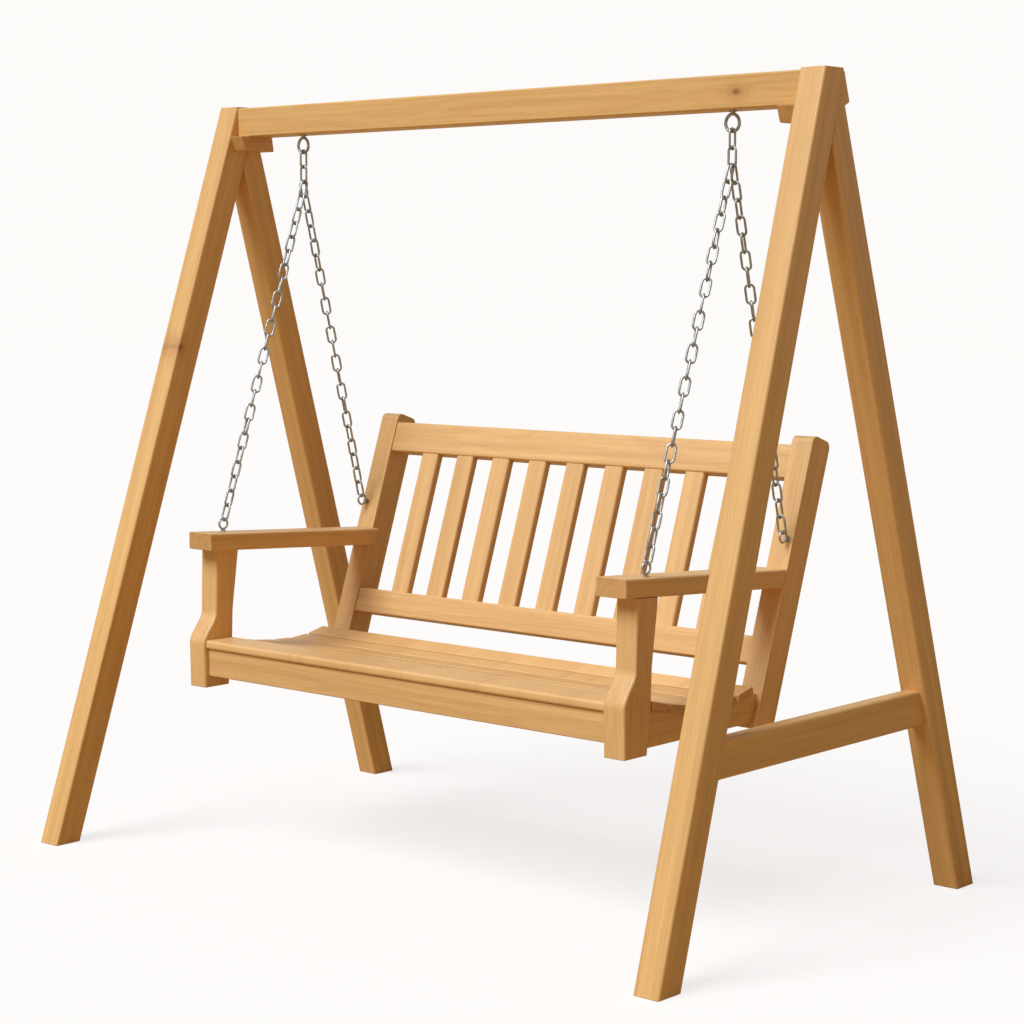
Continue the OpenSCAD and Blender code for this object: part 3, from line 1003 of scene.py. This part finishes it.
@dataclass
class EyeBolts:
    """The two eye bolts through the beam: a bent pear-shaped eye, a collar and a threaded shank with its nut.

    Attributes:
        pinch: how far the eye narrows towards its shank, as a share of its radius.
        thread: pitch of the screw thread.
    """

    pinch: float = 0.12
    thread: float = 1.25 * MM
    shank: float = 4 * MM
    collar: float = 8 * MM
    ring_steps: int = 56
    wire_sides: int = 16

    def ring(self, bm: bmesh.types.BMesh, centre: Vector, radius: float, wire: float) -> None:
        """Sweeps the wire round the eye.

        Args:
            bm: the mesh it goes in.
            centre: the eye's centre.
            radius: from the centre to the middle of the wire at the bottom.
            wire: the wire's radius.
        """
        path = []
        for i in range(self.ring_steps):
            turn = 2 * math.pi * i / self.ring_steps
            narrow = 1 - self.pinch * ((1 + math.cos(turn)) / 2) ** 1.5
            path.append(centre + Vector((radius * math.sin(turn) * narrow, 0, radius * math.cos(turn))))
        rings = []
        for i, point in enumerate(path):
            heading = (path[(i + 1) % len(path)] - path[i - 1]).normalized()
            outward = heading.cross(Vector((0, 1, 0)))
            rings.append([
                bm.verts.new(point + wire * (math.cos(a) * outward + math.sin(a) * Vector((0, 1, 0))))
                for a in (2 * math.pi * k / self.wire_sides for k in range(self.wire_sides))
            ])
        bridge(bm, rings)

    def turned(
        self, bm: bmesh.types.BMesh, foot: Vector, profile: list[tuple[float, float]], sides: int = 32,
        closed: bool = False,
    ) -> None:
        """Turns a profile about an upright axis.

        Args:
            bm: the mesh it goes in.
            foot: the point on the axis that heights count from.
            profile: radius and height of each point, from the bottom middle to the top middle.
            sides: steps round the axis.
            closed: whether the profile goes right round instead, as a ring's does.
        """
        rows = []
        for radius, height in profile:
            around = [
                foot + Vector((radius * math.cos(a), radius * math.sin(a), height))
                for a in (2 * math.pi * k / sides for k in range(sides))
            ]
            rows.append([bm.verts.new(p) for p in around] if radius > 0 else [bm.verts.new(around[0])])
        bridge(bm, rows, closed)

    def shank_profile(self, top: float, collar_height: float) -> list[tuple[float, float]]:
        """The collar and the threaded shank above it, as radius and height from the beam's underside."""
        low = -collar_height
        edge = 0.7 * MM
        profile = [(0.0, low - 2 * MM), (self.shank, low - 2 * MM), (self.shank, low)]
        profile += [(self.collar - edge, low), (self.collar, low + edge)]
        profile += [(self.collar, -0.2 * MM), (self.shank, -0.1 * MM)]
        start = top - 16 * MM
        profile.append((self.shank, start))
        turns = int((top - 0.8 * MM - start) / self.thread)
        for i in range(turns):
            height = start + i * self.thread
            profile.append((self.shank - 0.55 * MM, height + 0.3 * self.thread))
            profile.append((self.shank, height + 0.8 * self.thread))
        profile += [(self.shank - 0.8 * MM, top), (0.0, top)]
        return profile

    def build(self, steel: bpy.types.Material) -> None:
        """Builds both eye bolts, their washers and their nuts as one piece.

        Args:
            steel: their finish.
        """
        hang = pivot("hanger_swing")
        low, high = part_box("eye_bolts")
        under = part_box("beam")[0].z
        wire = hang.z - low.z
        bm = bmesh.new()
        for points in islands("eye_bolts"):
            x = float(points[:, 0].min() + points[:, 0].max()) / 2
            radius = float(np.ptp(points[:, 0])) / 2 - wire
            self.ring(bm, Vector((x, hang.y, hang.z + radius)), radius, wire)
            collar_height = under - (hang.z + 2 * radius + wire)
            self.turned(bm, Vector((x, hang.y, under)), self.shank_profile(high.z - under, collar_height))
        washers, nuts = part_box("beam_washers"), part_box("beam_nuts")
        radius = (washers[1].y - washers[0].y) / 2
        reach = washers[1].x - radius
        for x in (-reach, reach):
            self.washer(bm, Vector((x, hang.y, washers[0].z)), radius, washers[1].z - washers[0].z)
            self.nut(bm, Vector((x, hang.y, nuts[0].z)), nuts[1].x - reach, nuts[1].z - nuts[0].z)
        bmesh.ops.recalc_face_normals(bm, faces=bm.faces)
        mesh = finished_mesh("eye_bolt_set", bm)
        mesh.shade_smooth()
        mesh.set_sharp_from_angle(angle=math.radians(38))
        mesh.materials.append(steel)
        bolts = link_object("eye_bolt_set", mesh)
        hand_over(bolts, Body.STAND, Slot.STEEL, "eye_bolts", "beam_washers", "beam_nuts")

    def washer(self, bm: bmesh.types.BMesh, foot: Vector, radius: float, height: float) -> None:
        """Turns a flat washer with softened rims round the shank."""
        rim = 0.4 * MM
        bore = self.shank + 0.1 * MM
        outer = [(radius - rim, 0), (radius, rim), (radius, height - rim), (radius - rim, height)]
        self.turned(bm, foot, [(bore, 0), *outer, (bore, height)], sides=40, closed=True)

    def nut(self, bm: bmesh.types.BMesh, foot: Vector, corner: float, height: float) -> None:
        """Makes a hexagon nut whose corners are turned down at its top.

        Args:
            bm: the mesh it goes in.
            foot: the middle of its underside.
            corner: its radius over the corners.
            height: its height.
        """
        bore = self.shank + 0.1 * MM
        steps = 8
        flat = corner * math.cos(math.pi / 6)
        rows: list[list[bmesh.types.BMVert]] = [[], [], [], []]
        for k in range(6 * steps):
            angle = math.pi / 3 * k / steps
            within = (angle % (math.pi / 3)) - math.pi / 6
            radius = flat / math.cos(within)
            drop = (radius - flat) * 0.55
            about = Vector((math.cos(angle), math.sin(angle), 0))
            rows[0].append(bm.verts.new(foot + about * bore))
            rows[1].append(bm.verts.new(foot + about * radius))
            rows[2].append(bm.verts.new(foot + about * radius + Vector((0, 0, height - drop))))
            rows[3].append(bm.verts.new(foot + about * min(radius, flat) * 0.985 + Vector((0, 0, height))))
        rows.append([bm.verts.new(v.co + Vector((0, 0, height))) for v in rows[0]])
        bridge(bm, rows)


def dress_eye_screws(steel: bpy.types.Material) -> None:
    """Gives the four eye screws, kept as the CAD draws them, their plated finish.

    Args:
        steel: their finish.
    """
    screws = FRAME["nodes"]["eye_screws"]
    screws.data.materials.clear()
    screws.data.materials.append(steel)
    LOG.info("eye_screws: kept from the frame")


# -------------------- studio


@dataclass
class Studio:
    """A white paper ground, one large soft lamp in front and above, and a bright room."""

    reach: float = 30.0
    lamp_target: Vector = field(default_factory=lambda: Vector((0, 0, 0.9)))
    lamp_distance: float = 6.0
    lamp_height: float = math.radians(50)
    lamp_side: float = math.radians(14)
    lamp_softness: float = math.radians(34)
    lamp_power: float = 3.65
    lamp_colour: str = "e2efff"
    room: float = 0.25
    room_colour: str = "ffe1af"
    sheen: float = 0.75
    backdrop: str = "fdfbf9"
    camera_place: Vector = field(default_factory=lambda: Vector((3.515, -3.906, 1.340)))
    camera_turn: float = math.radians(41.45)
    camera_dip: float = math.radians(5.79)
    camera_lens: float = 82.2

    def aim(self, thing: bpy.types.Object, turn: float, dip: float) -> Vector:
        """Turns a lamp or a camera.

        Args:
            thing: the lamp or camera.
            turn: how far to the left of straight back it looks.
            dip: how far below level it looks.

        Returns:
            The direction it now looks in.
        """
        flat = math.cos(dip)
        ray = Vector((-math.sin(turn) * flat, math.cos(turn) * flat, -math.sin(dip)))
        thing.rotation_euler = ray.to_track_quat("-Z", "Y").to_euler()
        return ray

    def build_floor(self) -> None:
        """Lays the paper."""
        bm = bmesh.new()
        bmesh.ops.create_grid(bm, x_segments=4, y_segments=4, size=self.reach)
        mesh = finished_mesh("studio_floor", bm)
        mesh.materials.append(StudioPaper().build())
        link_object("studio_floor", mesh)

    def build_lamp(self) -> None:
        """Hangs the soft lamp in front of the swing, above it and a little to the left."""
        light = bpy.data.lights.new("soft_key", "SUN")
        light.angle = self.lamp_softness
        light.energy = self.lamp_power
        light.color = linear(self.lamp_colour)[:3]
        lamp = link_object("soft_key", light)
        ray = self.aim(lamp, -self.lamp_side, self.lamp_height)
        lamp.location = self.lamp_target - ray * self.lamp_distance

    def build_room(self) -> None:
        """Makes the room: bright white to the camera and dimmer, warm light on the swing."""
        world = bpy.data.worlds.new("white_room")
        bpy.context.scene.world = world
        world.use_nodes = True
        tree = world.node_tree
        tree.nodes.clear()
        path = add_node(tree, "ShaderNodeLightPath").outputs
        fill = add_node(tree, "ShaderNodeBackground", {
            "Color": linear(self.room_colour), "Strength": self.room})
        gleam = add_node(tree, "ShaderNodeBackground", {"Strength": self.sheen})
        white = add_node(tree, "ShaderNodeBackground", {"Color": linear(self.backdrop), "Strength": 1.0})
        lit = add_node(tree, "ShaderNodeMixShader", {0: path["Is Glossy Ray"], 1: fill, 2: gleam})
        mixed = add_node(tree, "ShaderNodeMixShader", {0: path["Is Camera Ray"], 1: lit, 2: white})
        add_node(tree, "ShaderNodeOutputWorld", {"Surface": mixed})

    def build_camera(self) -> None:
        """Places the camera to the front right, a little above the seat, looking slightly down."""
        lens = bpy.data.cameras.new("camera")
        lens.lens = self.camera_lens
        lens.sensor_width = 36
        camera = link_object("camera", lens)
        self.aim(camera, self.camera_turn, self.camera_dip)
        camera.location = self.camera_place
        bpy.context.scene.camera = camera

    def build(self) -> None:
        """Builds the studio and sets plain colour handling."""
        self.build_floor()
        self.build_lamp()
        self.build_room()
        self.build_camera()
        bpy.context.scene.view_settings.view_transform = "Standard"
        bpy.context.scene.view_settings.look = "None"


def main() -> None:
    """Builds the swing piece by piece, then the studio round it."""
    logging.basicConfig(level=logging.INFO, format="%(name)s: %(message)s")
    stand_wood = SatinPine("satin_pine_stand").build()
    bench_wood = SatinPine("satin_pine_bench", early="e2b273", late="ce8d4c").build()
    steel = ZincSteel().build()
    Stand().build(stand_wood)
    Bench().build(bench_wood)
    Chain(("drop_links_left", "drop_links_right"), "drop_links", Body.DROP_LINKS).build(steel)
    v_chains = tuple(f"{place}_chain_{side}" for place in ("front", "rear") for side in ("left", "right"))
    Chain(v_chains, "v_chains", Body.BENCH).build(steel)
    EyeBolts().build(steel)
    dress_eye_screws(steel)
    Studio().build()


if __name__ == "__main__":
    main()
